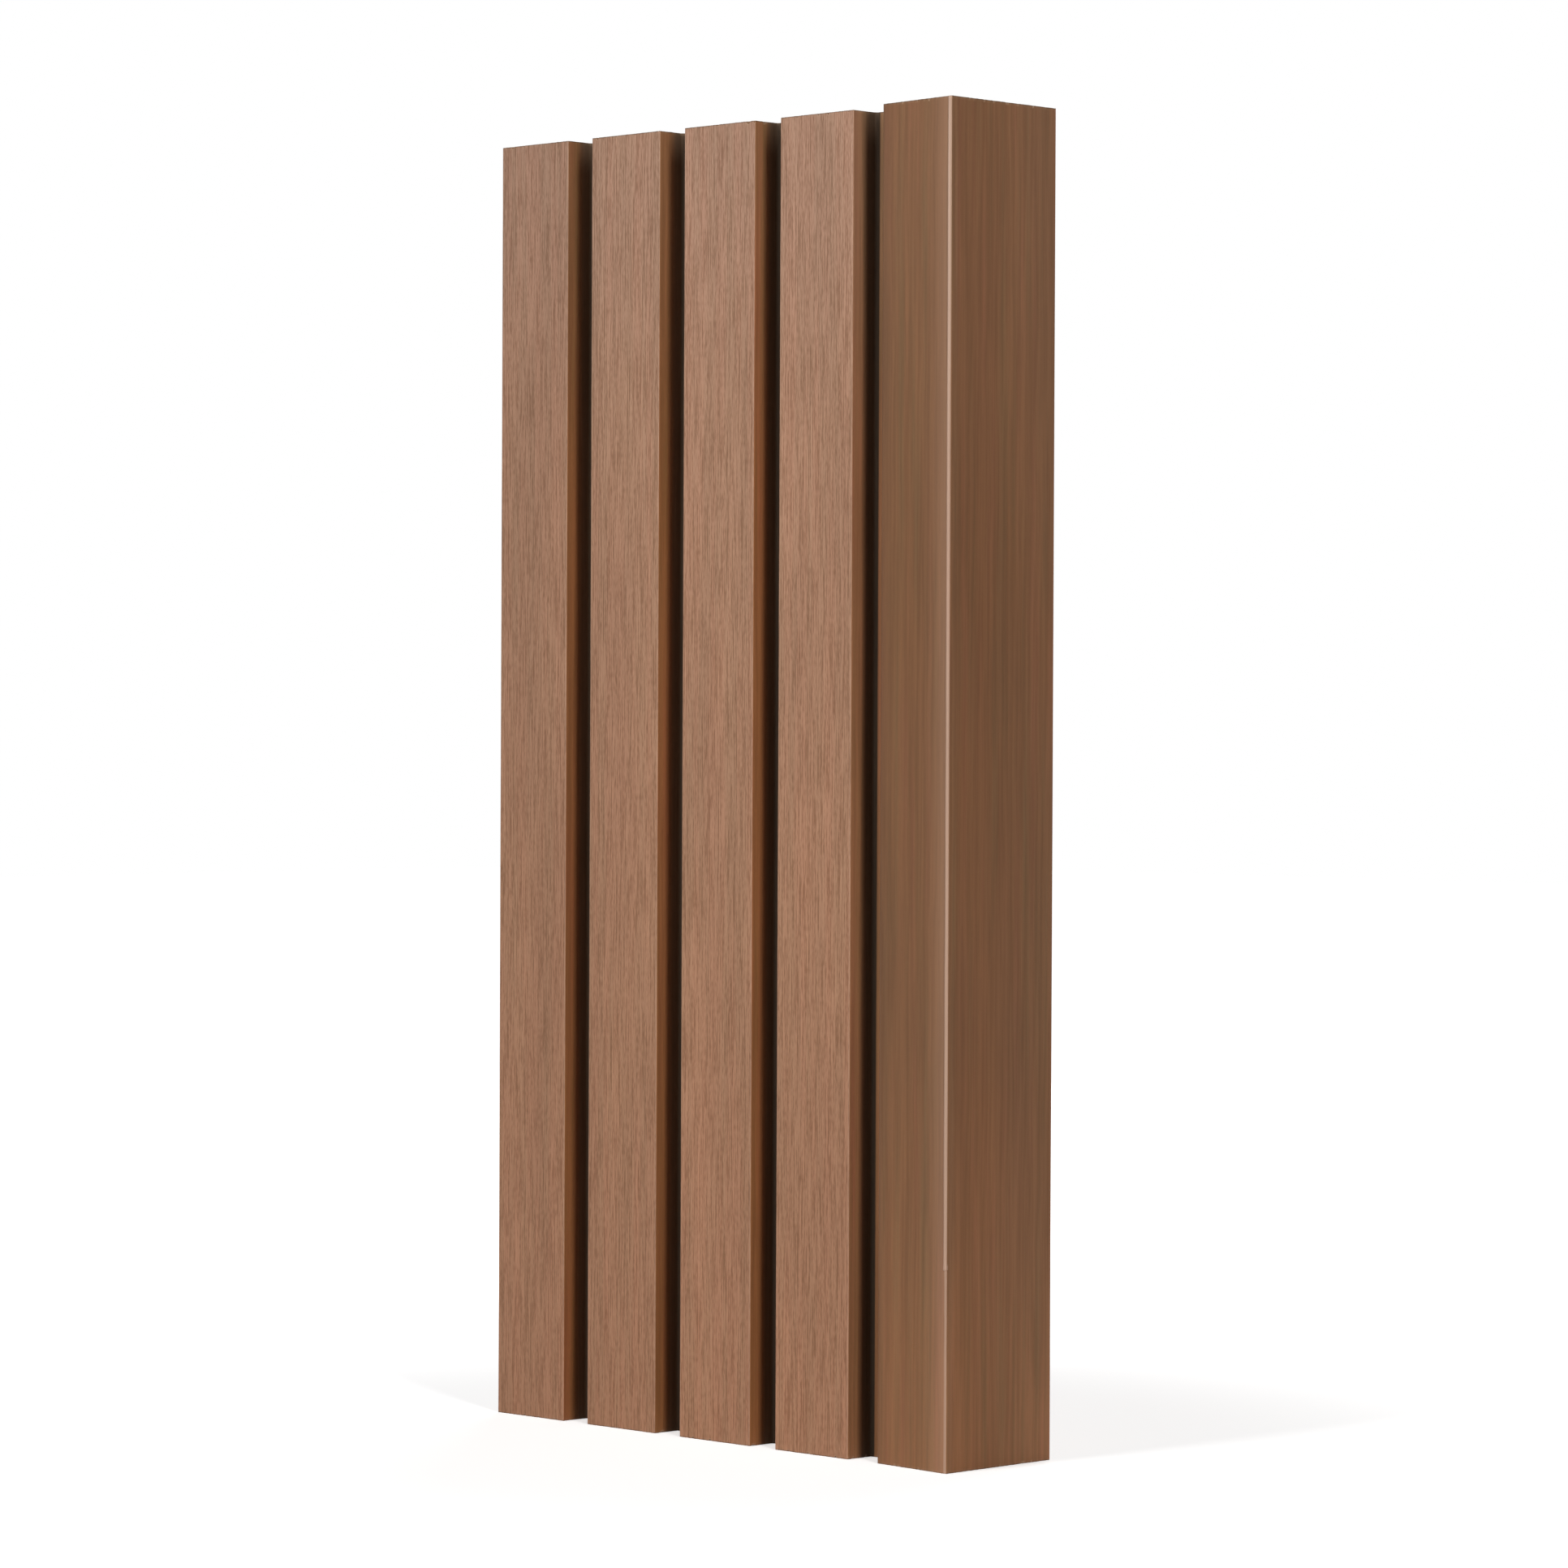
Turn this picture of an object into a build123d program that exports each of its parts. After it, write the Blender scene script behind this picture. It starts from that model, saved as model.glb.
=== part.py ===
from build123d import *
import os

os.makedirs("parts", exist_ok=True)

# Composite slat panel with an L corner trim, standing on its sawn ends.
# Millimetres. +Z is up, the slats face -Y and stand side by side along +X.
# The origin is at the bottom centre of the whole object.

# Slats, each with its groove on the right
slat_count = 4
slat_pitch = 54.75
slat_width = 40.5
groove_depth = 13.0
arris_radius = 0.8
groove_root_radius = 1.2

# Body of the extrusion
panel_height = 530.0
panel_thickness = 21.0
edge_radius = 0.6

# Hollow chamber inside each slat
chamber_side_wall = 5.0
chamber_front_wall = 5.0
chamber_back_wall = 7.0
chamber_corner_radius = 2.5

# Relief flutes in the back, a group behind each slat
flutes_per_slat = 3
flute_spacing = 10.0
flute_width = 4.0
flute_depth = 1.2

# Lap in the left edge, and on the right edge the tongue that fits such a lap
lap_width = 7.0
lap_depth = 4.5
joint_clearance = 0.25

# Corner batten, glued on the tongue and into the corner of the trim
batten_wall = 5.0
batten_edge_radius = 0.8
glue_line = 0.2

# Corner trim, an L whose front leg slopes back a little towards its lip
trim_wall = 3.0
trim_front_leg = 40.0
trim_side_leg = 60.0
trim_corner_proud = 2.65
trim_lip_recess = 0.3
trim_lip_offset = 1.0
trim_extra_height = 1.0
trim_arris_radius = 0.8
trim_lip_radius = 1.4
trim_end_radius = 0.5
trim_inner_radius = 0.5

# Raised bead on the arris of the trim, from its top end down
bead_radius = 1.0
bead_height = 0.3
bead_length = 452.0
bead_setback = 0.1

# Places worked out from the sizes above
cover_width = slat_pitch * slat_count
groove_width = slat_pitch - slat_width
overall_width = cover_width + trim_lip_offset + trim_front_leg
overall_depth = trim_side_leg + bead_height
trim_height = panel_height + trim_extra_height

left_x = -overall_width / 2
trim_right_x = overall_width / 2
trim_front_y = bead_height - overall_depth / 2
trim_rear_y = overall_depth / 2
slat_face_y = trim_front_y + trim_corner_proud
groove_floor_y = slat_face_y + groove_depth
panel_back_y = slat_face_y + panel_thickness

slat_centres = [left_x + slat_width / 2 + i * slat_pitch for i in range(slat_count)]
groove_centres = [x + slat_pitch / 2 for x in slat_centres]
flute_offsets = [(i - (flutes_per_slat - 1) / 2) * flute_spacing for i in range(flutes_per_slat)]

chamber_width = slat_width - 2 * chamber_side_wall
chamber_depth = panel_thickness - chamber_front_wall - chamber_back_wall
chamber_centre_y = slat_face_y + chamber_front_wall + chamber_depth / 2

tongue_thickness = lap_depth - joint_clearance
tongue_width = lap_width - 2 * joint_clearance
tongue_front_y = panel_back_y - tongue_thickness
shoulder_x = left_x + cover_width - joint_clearance
tongue_tip_x = shoulder_x + tongue_width

lip_x = trim_right_x - trim_front_leg
lip_y = slat_face_y + trim_lip_recess
leg_slope = (trim_front_y - lip_y) / trim_front_leg
trim_inner_x = trim_right_x - trim_wall
trim_inner_corner_y = lip_y + trim_wall + (trim_inner_x - lip_x) * leg_slope

batten_left_x = left_x + cover_width
batten_right_x = trim_inner_x - glue_line
batten_step_x = tongue_tip_x + joint_clearance
batten_step_y = tongue_front_y - glue_line
batten_front_y = [lip_y + trim_wall + glue_line + (x - lip_x) * leg_slope for x in (batten_left_x, batten_right_x)]
batten_chamber_width = batten_right_x - batten_step_x - 2 * batten_wall
batten_chamber_depth = panel_back_y - batten_front_y[0] - 2 * batten_wall

bead_x = trim_right_x - bead_setback - bead_radius
bead_y = trim_front_y - bead_height + bead_radius
bead_foot_z = trim_height - bead_length


# Slat panel: one hollow extrusion, all slats on one base
with BuildPart() as slat_panel:
    with BuildSketch(Plane.XY) as panel_section:
        with Locations((left_x, slat_face_y)):
            Rectangle(shoulder_x - left_x, panel_thickness, align=(Align.MIN, Align.MIN))
        with Locations(*[(x, slat_face_y) for x in groove_centres]):
            Rectangle(groove_width, groove_depth, align=(Align.CENTER, Align.MIN), mode=Mode.SUBTRACT)
        with Locations((shoulder_x, panel_back_y)):
            Rectangle(tongue_width, tongue_thickness, align=(Align.MIN, Align.MAX))
        with Locations((left_x, panel_back_y)):
            Rectangle(lap_width, lap_depth, align=(Align.MIN, Align.MAX), mode=Mode.SUBTRACT)
        with Locations(*[(x + dx, panel_back_y) for x in slat_centres for dx in flute_offsets]):
            Rectangle(flute_width, flute_depth, align=(Align.CENTER, Align.MAX), mode=Mode.SUBTRACT)
        front_corners = panel_section.vertices().filter_by_position(Axis.Y, slat_face_y, slat_face_y)
        fillet(front_corners, radius=arris_radius)
        floor_corners = panel_section.vertices().filter_by_position(Axis.Y, groove_floor_y, groove_floor_y)
        fillet(floor_corners.sort_by(Axis.X)[:-1], radius=groove_root_radius)
        back_corners = panel_section.vertices().filter_by_position(Axis.Y, panel_back_y, panel_back_y)
        shoulder = panel_section.vertices().sort_by_distance((shoulder_x, groove_floor_y))
        tongue_tip = panel_section.vertices().sort_by_distance((tongue_tip_x, tongue_front_y))
        fillet([*back_corners.sort_by(Axis.X)[0::len(back_corners) - 1], shoulder[0], tongue_tip[0]], radius=edge_radius)
        with Locations(*[(x, chamber_centre_y) for x in slat_centres]):
            RectangleRounded(chamber_width, chamber_depth, chamber_corner_radius, mode=Mode.SUBTRACT)
    extrude(amount=panel_height)

slat_panel.part.label = "slat_panel"
export_step(slat_panel.part, "parts/slat_panel.step")


# Corner batten: a hollow extrusion that carries the trim, stepped over the tongue
with BuildPart() as corner_batten:
    with BuildSketch(Plane.XY) as batten_section:
        with BuildLine():
            Polyline(
                (batten_left_x, batten_front_y[0]),
                (batten_right_x, batten_front_y[1]),
                (batten_right_x, panel_back_y),
                (batten_step_x, panel_back_y),
                (batten_step_x, batten_step_y),
                (batten_left_x, batten_step_y),
                close=True,
            )
        make_face()
        fillet(batten_section.vertices(), radius=batten_edge_radius)
        with Locations((batten_step_x + batten_wall, panel_back_y - batten_wall)):
            Rectangle(batten_chamber_width, batten_chamber_depth, align=(Align.MIN, Align.MAX), mode=Mode.SUBTRACT)
        chamber = batten_section.face().inner_wires()[0]
        fillet(chamber.vertices(), radius=chamber_corner_radius)
    extrude(amount=panel_height)

corner_batten.part.label = "corner_batten"
export_step(corner_batten.part, "parts/corner_batten.step")


# Corner trim: an L extrusion with a bead along its arris
with BuildPart() as corner_trim:
    with BuildSketch(Plane.XY) as trim_section:
        with BuildLine():
            Polyline(
                (lip_x, lip_y),
                (trim_right_x, trim_front_y),
                (trim_right_x, trim_rear_y),
                (trim_inner_x, trim_rear_y),
                (trim_inner_x, trim_inner_corner_y),
                (lip_x, lip_y + trim_wall),
                close=True,
            )
        make_face()
        arris = trim_section.vertices().sort_by_distance((trim_right_x, trim_front_y))
        fillet(arris[0], radius=trim_arris_radius)
        lip = trim_section.vertices().sort_by_distance((lip_x, lip_y))
        fillet(lip[0], radius=trim_lip_radius)
        inner_corner = trim_section.vertices().sort_by_distance((trim_inner_x, trim_inner_corner_y))
        fillet(inner_corner[0], radius=trim_inner_radius)
        rear = trim_section.vertices().filter_by_position(Axis.Y, trim_rear_y, trim_rear_y)
        fillet(rear, radius=trim_end_radius)
    extrude(amount=trim_height)
    with BuildSketch(Plane.XY.offset(bead_foot_z)) as bead_section:
        with Locations((bead_x, bead_y)):
            Circle(bead_radius)
    extrude(amount=bead_length)
    with Locations((bead_x, bead_y, bead_foot_z)):
        Sphere(bead_radius)

corner_trim.part.label = "corner_trim"
export_step(corner_trim.part, "parts/corner_trim.step")
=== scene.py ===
"""Composite slat panel with its corner trim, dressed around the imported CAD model.

Metres. +Z is up and the slats face -Y. Each piece is a surface worked out with numpy:
a closed outline seen from above, carried up the height, with the finish pressed into it.
"""

import math

import bpy
import numpy as np
from bpy.props import FloatProperty, FloatVectorProperty, IntProperty, PointerProperty
from mathutils import Matrix, Vector
from mathutils.geometry import delaunay_2d_cdt


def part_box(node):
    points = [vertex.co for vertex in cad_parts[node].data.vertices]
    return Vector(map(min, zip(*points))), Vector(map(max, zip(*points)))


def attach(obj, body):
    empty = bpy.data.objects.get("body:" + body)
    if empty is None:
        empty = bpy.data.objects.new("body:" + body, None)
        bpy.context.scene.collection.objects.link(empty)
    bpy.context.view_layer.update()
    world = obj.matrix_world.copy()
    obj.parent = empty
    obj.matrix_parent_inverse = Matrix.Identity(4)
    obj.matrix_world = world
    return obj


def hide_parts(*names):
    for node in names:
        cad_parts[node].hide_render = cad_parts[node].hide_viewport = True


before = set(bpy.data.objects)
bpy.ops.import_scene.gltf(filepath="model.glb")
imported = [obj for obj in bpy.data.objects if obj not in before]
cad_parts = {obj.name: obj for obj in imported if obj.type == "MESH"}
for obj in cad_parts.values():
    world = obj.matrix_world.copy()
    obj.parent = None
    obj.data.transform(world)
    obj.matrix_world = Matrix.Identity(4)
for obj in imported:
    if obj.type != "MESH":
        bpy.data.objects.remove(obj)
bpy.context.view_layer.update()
panel_low, panel_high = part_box("slat_panel")
batten_low, batten_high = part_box("corner_batten")
trim_low, trim_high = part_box("corner_trim")

bl_info = {
    "name": "Composite slat panel",
    "version": (1, 0, 0),
    "blender": (4, 5, 0),
    "location": "View3D > Sidebar > Slat panel",
    "description": "Builds a brushed composite slat panel with a corner trim, and its studio",
    "category": "Add Mesh",
}

# Kinds of surface along an outline, which are also the material slots of a piece
BRUSHED, SKIN, REAR, SAWN, HOLLOW = range(5)

# Materials by name
FACE_FINISH = "Brushed composite face"
SKIN_FINISH = "Extruded composite skin"
TRIM_FINISH = "Streaked trim"
END_FINISH = "Sawn composite end"

# Slow changes of colour over the object, most of them painted light and shade: axis, from, to, tint at the
# first place and at the second
X, Y, Z = range(3)
PLAIN = (1.0, 1.0, 1.0)
FACE_PAINTED_LIGHT = (
    # Painted shade where the lamps fall off towards the first slat
    (X, -0.110, -0.030, (0.90, 0.90, 0.90), PLAIN),         # darker towards the first slat
    # Painted sheen: browner at the foot, paler and greyer at the top
    (Z, 0.0, 0.30, (0.99, 0.955, 0.93), PLAIN),             # browner at the foot
    (Z, 0.40, 0.53, PLAIN, (1.03, 1.06, 1.10)),             # paler and greyer at the top
)
SKIN_TINTS_AND_PAINTED_LIGHT = (
    # Painted light: darker towards the first slat, lighter towards the last, where the lamps are nearer
    (X, -0.10, 0.09, (0.94, 0.94, 0.94), (1.08, 1.08, 1.08)),
    (X, 0.02, 0.085, PLAIN, (0.90, 1.02, 1.25)),            # less red towards the last slat's side
    # Painted light and sheen: darker and browner at the foot, paler and greyer at the top
    (Z, 0.0, 0.20, (0.95, 0.96, 0.93), PLAIN),
    (Z, 0.36, 0.53, PLAIN, (1.02, 1.16, 1.34)),
)
TRIM_TINTS_AND_PAINTED_LIGHT = (
    # Painted shade at the lip
    (X, 0.090, 0.098, (0.86, 0.86, 0.86), PLAIN),           # darker at the lip
    (Y, -0.027, -0.025, PLAIN, (0.99, 0.93, 0.86)),         # browner on the side leg than in front
    (Y, -0.015, 0.022, PLAIN, (1.01, 1.07, 1.18)),
    (Y, 0.0285, 0.0300, PLAIN, (1.25, 1.18, 1.25)),         # paler on the rear edge
    # Painted light: much paler at the very foot, and paler and greyer at the top as painted sheen
    (Z, 0.0, 0.18, (1.38, 1.38, 1.40), (0.95, 0.945, 0.89)),
    (Z, 0.33, 0.53, PLAIN, (1.18, 1.25, 1.45)),
)

# Grey mixed into the slat faces a little towards the top: painted sheen
PAINTED_SHEEN_GREY = (0.60, 0.60, 0.60)


# Sizes and colours that a user would change

def length(name, description, default):
    return FloatProperty(name=name, description=description, default=default, unit="LENGTH", precision=5)


def colour(name, description, default):
    return FloatVectorProperty(name=name, description=description, default=default, subtype="COLOR",
                               size=3, min=0.0, max=1.0)


def factor(name, description, default, high=1.0):
    return FloatProperty(name=name, description=description, default=default, min=0.0, max=high,
                         subtype="FACTOR")


def angle(name, description, degrees):
    return FloatProperty(name=name, description=description, default=math.radians(degrees), subtype="ANGLE")


class SlatPanelSizes(bpy.types.PropertyGroup):
    """Section of the slat panel."""
    slat_count: IntProperty(name="Slats", description="Slats side by side on one base", default=4, min=2)
    slat_pitch: length("Slat pitch", "From one slat to the next", 0.05475)
    slat_width: length("Slat width", "Width of one slat face", 0.0405)
    groove_depth: length("Groove depth", "From the slat faces to the groove floors", 0.013)
    arris_radius: length("Arris radius", "Rounding of the front edges of a slat", 0.0005)
    root_radius: length("Groove root radius", "Rounding where a slat meets the groove floor", 0.0012)
    edge_radius: length("Edge radius", "Rounding of the tongue and the two back edges", 0.0006)
    chamber_width: length("Chamber width", "Width of the hollow inside each slat", 0.0305)
    chamber_depth: length("Chamber depth", "Depth of the hollow inside each slat", 0.009)
    chamber_radius: length("Chamber corner radius", "Rounding inside each hollow", 0.0025)
    chamber_setback: length("Front wall", "Wall between a slat face and its hollow", 0.005)
    flutes_per_slat: IntProperty(name="Flutes", description="Relief flutes in the back of each slat",
                                 default=3, min=0)
    flute_spacing: length("Flute spacing", "From one back flute to the next", 0.010)
    flute_width: length("Flute width", "Width of a back flute", 0.004)
    flute_depth: length("Flute depth", "Depth of a back flute", 0.0012)
    lap_width: length("Lap width", "Width of the rebate at the left edge", 0.007)
    lap_depth: length("Lap depth", "Depth of the rebate at the left edge", 0.0045)
    clearance: length("Clearance", "Play between a tongue and its lap", 0.00025)


class CornerSizes(bpy.types.PropertyGroup):
    """Sections of the corner trim, its raised bead and the batten behind it."""
    wall: length("Wall", "Thickness of both legs", 0.003)
    lip_recess: length("Lip recess", "From the slat faces back to the lip of the front leg", 0.0003)
    arris_radius: length("Arris radius", "Rounding of the outer corner", 0.0008)
    lip_radius: length("Lip radius", "Rounding of the free edge of the front leg", 0.0014)
    end_radius: length("End radius", "Rounding of the rear edge of the side leg", 0.0005)
    inner_radius: length("Inner radius", "Rounding inside the corner", 0.0005)
    bead_radius: length("Bead radius", "Roundness of the raised bead", 0.001)
    bead_height: length("Bead height", "How far the bead stands off the front", 0.0003)
    bead_length: length("Bead length", "Length of the bead, from the top end down", 0.452)
    bead_setback: length("Bead setback", "From the outer side to the edge of the bead", 0.0001)
    glue_line: length("Glue line", "Between the batten and its neighbours", 0.0002)
    batten_wall: length("Batten wall", "Wall round the hollow of the batten", 0.005)
    batten_radius: length("Batten radius", "Rounding of the batten's edges", 0.0008)


class FinishSizes(bpy.types.PropertyGroup):
    """Brushing, die lines and saw chips that are pressed into the surfaces."""
    brush_depth: length("Brush depth", "Depth of the deepest brushed lines", 0.00010)
    brush_width: length("Brush line width", "Width of a brushed line", 0.0005)
    brush_length: length("Brush line length", "Length of a brushed line", 0.014)
    brush_wander: length("Brush wander", "How far a brushed line drifts sideways", 0.0005)
    die_depth: length("Die line depth", "Depth of the faint lines of an extruded skin", 0.00002)
    chip_depth: length("Chip depth", "Depth of the largest chips along a sawn end", 0.0013)
    saw_ease: length("Saw ease", "Width of the rubbed edge round a sawn end", 0.00035)


class FinishColours(bpy.types.PropertyGroup):
    """Colours of the composite, in linear light."""
    brushed: colour("Brushed face", "Middle tone of the brushed slat faces", (0.325, 0.172, 0.099))
    # Pale of the slat arrises: partly wear, partly a painted highlight
    brushed_pale: colour("Brushed pale", "Rubbed arrises of the slats", (0.500, 0.330, 0.240))
    brushed_dark: colour("Brushed dark", "Bottom of the brushed lines", (0.150, 0.068, 0.034))
    skin: colour("Extruded skin", "Smooth sides, grooves and back", (0.272, 0.110, 0.042))
    skin_warm: colour("Skin, warm streaks", "Reddish streaks in the smooth skin", (0.300, 0.107, 0.044))
    skin_green: colour("Skin, olive streaks", "Greenish streaks in the smooth skin", (0.240, 0.110, 0.040))
    # Painted shade deep in the grooves and on their roots
    skin_groove_shade: colour("Skin, deep in the grooves", "Duller skin near the groove roots", (0.122, 0.077, 0.047))
    trim: colour("Trim", "Middle tone of the corner trim", (0.164, 0.072, 0.029))
    trim_warm: colour("Trim, warm streaks", "Reddish streaks in the trim", (0.179, 0.073, 0.032))
    trim_green: colour("Trim, olive streaks", "Greenish streaks in the trim", (0.146, 0.072, 0.029))
    # Also used for the painted highlight near the trim's corner, and for its arris and bead, which are partly
    # painted highlight
    trim_pale: colour("Trim, rubbed", "Bead and rubbed corner of the trim", (0.560, 0.380, 0.290))
    core: colour("Sawn core", "Cut ends of the composite", (0.215, 0.120, 0.070))
    core_fleck: colour("Core flecks", "Wood fibres in the cut ends", (0.400, 0.270, 0.170))


class StudioSizes(bpy.types.PropertyGroup):
    """Lamps, floor and camera."""
    world_light: factor("Room light", "Even light from all round", 0.05)
    floor_size: length("Floor", "Side of the square floor", 14.0)
    floor_tone: factor("Floor tone", "How pale the floor is", 0.86)
    floor_glow: factor("Floor glow", "How much the camera sees the floor shine near the object", 0.52)
    glow_near: length("Glow near", "Distance from the middle at which the shine starts to rise", 0.17)
    glow_far: length("Glow far", "Distance from the middle at which the floor is as white as the rest", 0.60)
    key_light: factor("Key light", "Lamp in front, a little to the left", 0.57, 4.0)
    key_plan: angle("Key plan", "From straight in front towards the trim's side", -5.8)
    key_rise: angle("Key rise", "Above level", 24.0)
    key_away: length("Key distance", "From the middle of the panel to the key lamp", 6.0)
    key_width: length("Key width", "Width of the key lamp", 1.16)
    key_height: length("Key height", "Height of the key lamp", 1.16)
    side_light: factor("Side light", "Lamp at the right that grazes the slats", 0.55, 4.0)
    side_plan: angle("Side plan", "From straight in front towards the trim's side", 69.3)
    side_rise: angle("Side rise", "Above level", 22.0)
    side_away: length("Side distance", "From the middle of the panel to the side lamp", 3.0)
    side_width: length("Side width", "Width of the side lamp", 0.472)
    side_height: length("Side height", "Height of the side lamp", 2.4)
    back_light: factor("Back light", "Soft lamp behind, for the rear faces", 0.50, 4.0)
    back_plan: angle("Back plan", "From straight in front towards the trim's side", 205.0)
    back_rise: angle("Back rise", "Above level", 20.0)
    back_away: length("Back distance", "From the middle of the panel to the back lamp", 2.0)
    back_width: length("Back width", "Width of the back lamp", 1.4)
    back_height: length("Back height", "Height of the back lamp", 1.4)
    camera_place: FloatVectorProperty(name="Camera place", description="Where the camera stands", size=3,
                                      default=(1.55525, -1.55301, 0.28461), subtype="TRANSLATION")
    camera_turn: angle("Camera turn", "Turn to the left of the panel's depth", 44.8420)
    camera_dip: angle("Camera dip", "Tilt below level", 0.5168)
    camera_roll: angle("Camera roll", "Roll about the line of sight", 0.2433)
    camera_lens: FloatProperty(name="Lens", description="Focal length on a 36 mm frame", default=124.33)


# Outlines

def rounded_outline(corners):
    """Closed outline, anticlockwise from above.

    A corner is (x, y, radius, arc steps, run steps, kind of run). Its arc touches both runs at
    radius / tan(h) from the corner, where h is half the angle between them, and has its centre on their
    bisector at radius / sin(h). The points on it swing evenly from the first touch to the second. The run to
    the next arc is divided evenly. A collinear corner only splits a run.
    Returns points, the kind of the strip after each point, which points are on a convex arc, and which are
    a sharp corner.
    """
    place = np.array([c[:2] for c in corners])
    before = np.roll(place, 1, axis=0) - place
    after = np.roll(place, -1, axis=0) - place
    before /= np.linalg.norm(before, axis=1)[:, None]
    after /= np.linalg.norm(after, axis=1)[:, None]
    half = np.arccos(np.clip((before * after).sum(axis=1), -1, 1)) / 2
    turn = before[:, 1] * after[:, 0] - before[:, 0] * after[:, 1]
    radius = np.array([c[2] for c in corners])
    touch = (radius / np.tan(half))[:, None]
    start, end = place + before * touch, place + after * touch
    points, kinds, convex, sharp = [], [], [], []
    for i, (_, _, r, arc_steps, run_steps, kind) in enumerate(corners):
        if r > 0:
            bisector = before[i] + after[i]
            centre = place[i] + bisector / np.linalg.norm(bisector) * r / math.sin(half[i])
            swing = math.pi - 2 * half[i]
            t = np.linspace(0, 1, arc_steps + 1)[:-1, None]
            spread = np.sin((1 - t) * swing) * (start[i] - centre) + np.sin(t * swing) * (end[i] - centre)
            points.append(centre + spread / math.sin(swing))
            before_half = arc_steps // 2
            kinds += [corners[i - 1][5]] * before_half + [kind] * (arc_steps - before_half)
            convex += [turn[i] > 0.5] * arc_steps
            sharp += [False] * arc_steps
        t = np.linspace(0, 1, run_steps + 1)[:-1, None]
        goal = start[(i + 1) % len(corners)]
        points.append(end[i] + (goal - end[i]) * t)
        kinds += [kind] * run_steps
        convex += [False] * run_steps
        sharp += [r == 0 and abs(turn[i]) > 0.5] + [False] * (run_steps - 1)
    return np.concatenate(points), np.array(kinds), np.array(convex), np.array(sharp)


def rounded_hole(x0, y0, x1, y1, radius, steps):
    """Outline of a hollow, clockwise so that its faces point into it."""
    arc, side = 5, 4
    outline, *_ = rounded_outline([(x0, y0, radius, arc, steps, HOLLOW), (x1, y0, radius, arc, side, HOLLOW),
                                   (x1, y1, radius, arc, steps, HOLLOW), (x0, y1, radius, arc, side, HOLLOW)])
    return outline[::-1]


def outward(points):
    """Unit directions out of an anticlockwise outline: the chord between neighbours, turned by a quarter."""
    chord = np.roll(points, -1, axis=0) - np.roll(points, 1, axis=0)
    normal = np.stack([chord[:, 1], -chord[:, 0]], axis=1)
    return normal / np.linalg.norm(normal, axis=1)[:, None]


def run_length(points):
    """Distance of each point along a closed outline."""
    step = np.linalg.norm(np.roll(points, -1, axis=0) - points, axis=1)
    return np.concatenate([[0], np.cumsum(step)[:-1]])


def edge_nearness(points, edge_points, reach):
    """exp(-(distance to the nearest edge point / reach)^2), along the outline."""
    away = np.linalg.norm(points[:, None, :] - edge_points[None, :, :], axis=2).min(axis=1)
    return np.exp(-(away / reach) ** 2)


# Noise worked out as whole arrays

def lattice(i, j, seed):
    """Repeatable numbers from 0 to 1 at whole places, from a mixed integer product."""
    mixed = (i.astype(np.int64) * 374761393 + j.astype(np.int64) * 668265263 + seed * 1274126177) & 0xFFFFFFFF
    mixed = ((mixed ^ (mixed >> 13)) * 1103515245) & 0xFFFFFFFF
    mixed = ((mixed ^ (mixed >> 16)) * 12820163) & 0xFFFFFFFF
    return ((mixed ^ (mixed >> 15)) & 0xFFFFFF) / float(0xFFFFFF)


def drawn_noise(across, along, cell_across, cell_along, seed):
    """Value noise from 0 to 1 on cells of the given size, blended with 3t^2 - 2t^3 between cell corners."""
    p, q = across / cell_across, along / cell_along
    i, j = np.floor(p), np.floor(q)
    s, t = p - i, q - j
    s, t = s * s * (3 - 2 * s), t * t * (3 - 2 * t)
    low = lattice(i, j, seed) * (1 - s) + lattice(i + 1, j, seed) * s
    high = lattice(i, j + 1, seed) * (1 - s) + lattice(i + 1, j + 1, seed) * s
    return low * (1 - t) + high * t


def smooth_step(low, high, value):
    t = np.clip((value - low) / (high - low), 0, 1)
    return t * t * (3 - 2 * t)


def brushed_relief(across, along, finish):
    """Depth of the brushing from 0 to 1: three sizes of drawn noise, cut off so that lines stand apart.

    The places are first shifted sideways by slow noise, so that the lines wander.
    """
    drift = (drawn_noise(across, along, 0.006, 0.045, seed=11) - 0.5) * 2 * finish.brush_wander
    place = across + drift
    width, run = finish.brush_width, finish.brush_length
    fine = smooth_step(0.50, 0.98, drawn_noise(place, along, width, run, seed=21))
    broad = drawn_noise(place, along, width * 2.6, run * 2.4, seed=31)
    gouge = smooth_step(0.86, 0.98, drawn_noise(place, along, width * 1.2, run * 0.7, seed=41))
    return np.clip(0.55 * fine + 0.25 * broad + 0.55 * gouge, 0, 1)


def die_relief(across, along):
    """Depth of the die lines from 0 to 1: very long drawn noise in two widths."""
    fine = drawn_noise(across, along, 0.0011, 0.30, seed=51)
    broad = drawn_noise(across, along, 0.0035, 0.55, seed=61)
    return 0.6 * fine + 0.4 * broad


def chip_relief(across, seed):
    """Depth of the saw chips along a rim from 0 to 1: a fine ragged line with a few larger bites."""
    zero = np.zeros_like(across)
    ragged = drawn_noise(across, zero, 0.0007, 1.0, seed)
    bite = smooth_step(0.76, 0.98, drawn_noise(across, zero, 0.0014, 1.0, seed + 1))
    return np.clip(0.12 * ragged + 0.9 * bite * (0.4 + 0.6 * ragged), 0, 1)


# Meshes

def strip_faces(rows, columns, first):
    """Quads of a grid whose last column meets its first. Row by row upwards, columns anticlockwise."""
    row = np.arange(rows - 1)[:, None] * columns + first
    column = np.arange(columns)[None, :]
    beside = (column + 1) % columns
    quads = np.stack([row + column, row + beside, row + columns + beside, row + columns + column], axis=2)
    return quads.reshape(-1, 4)


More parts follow.
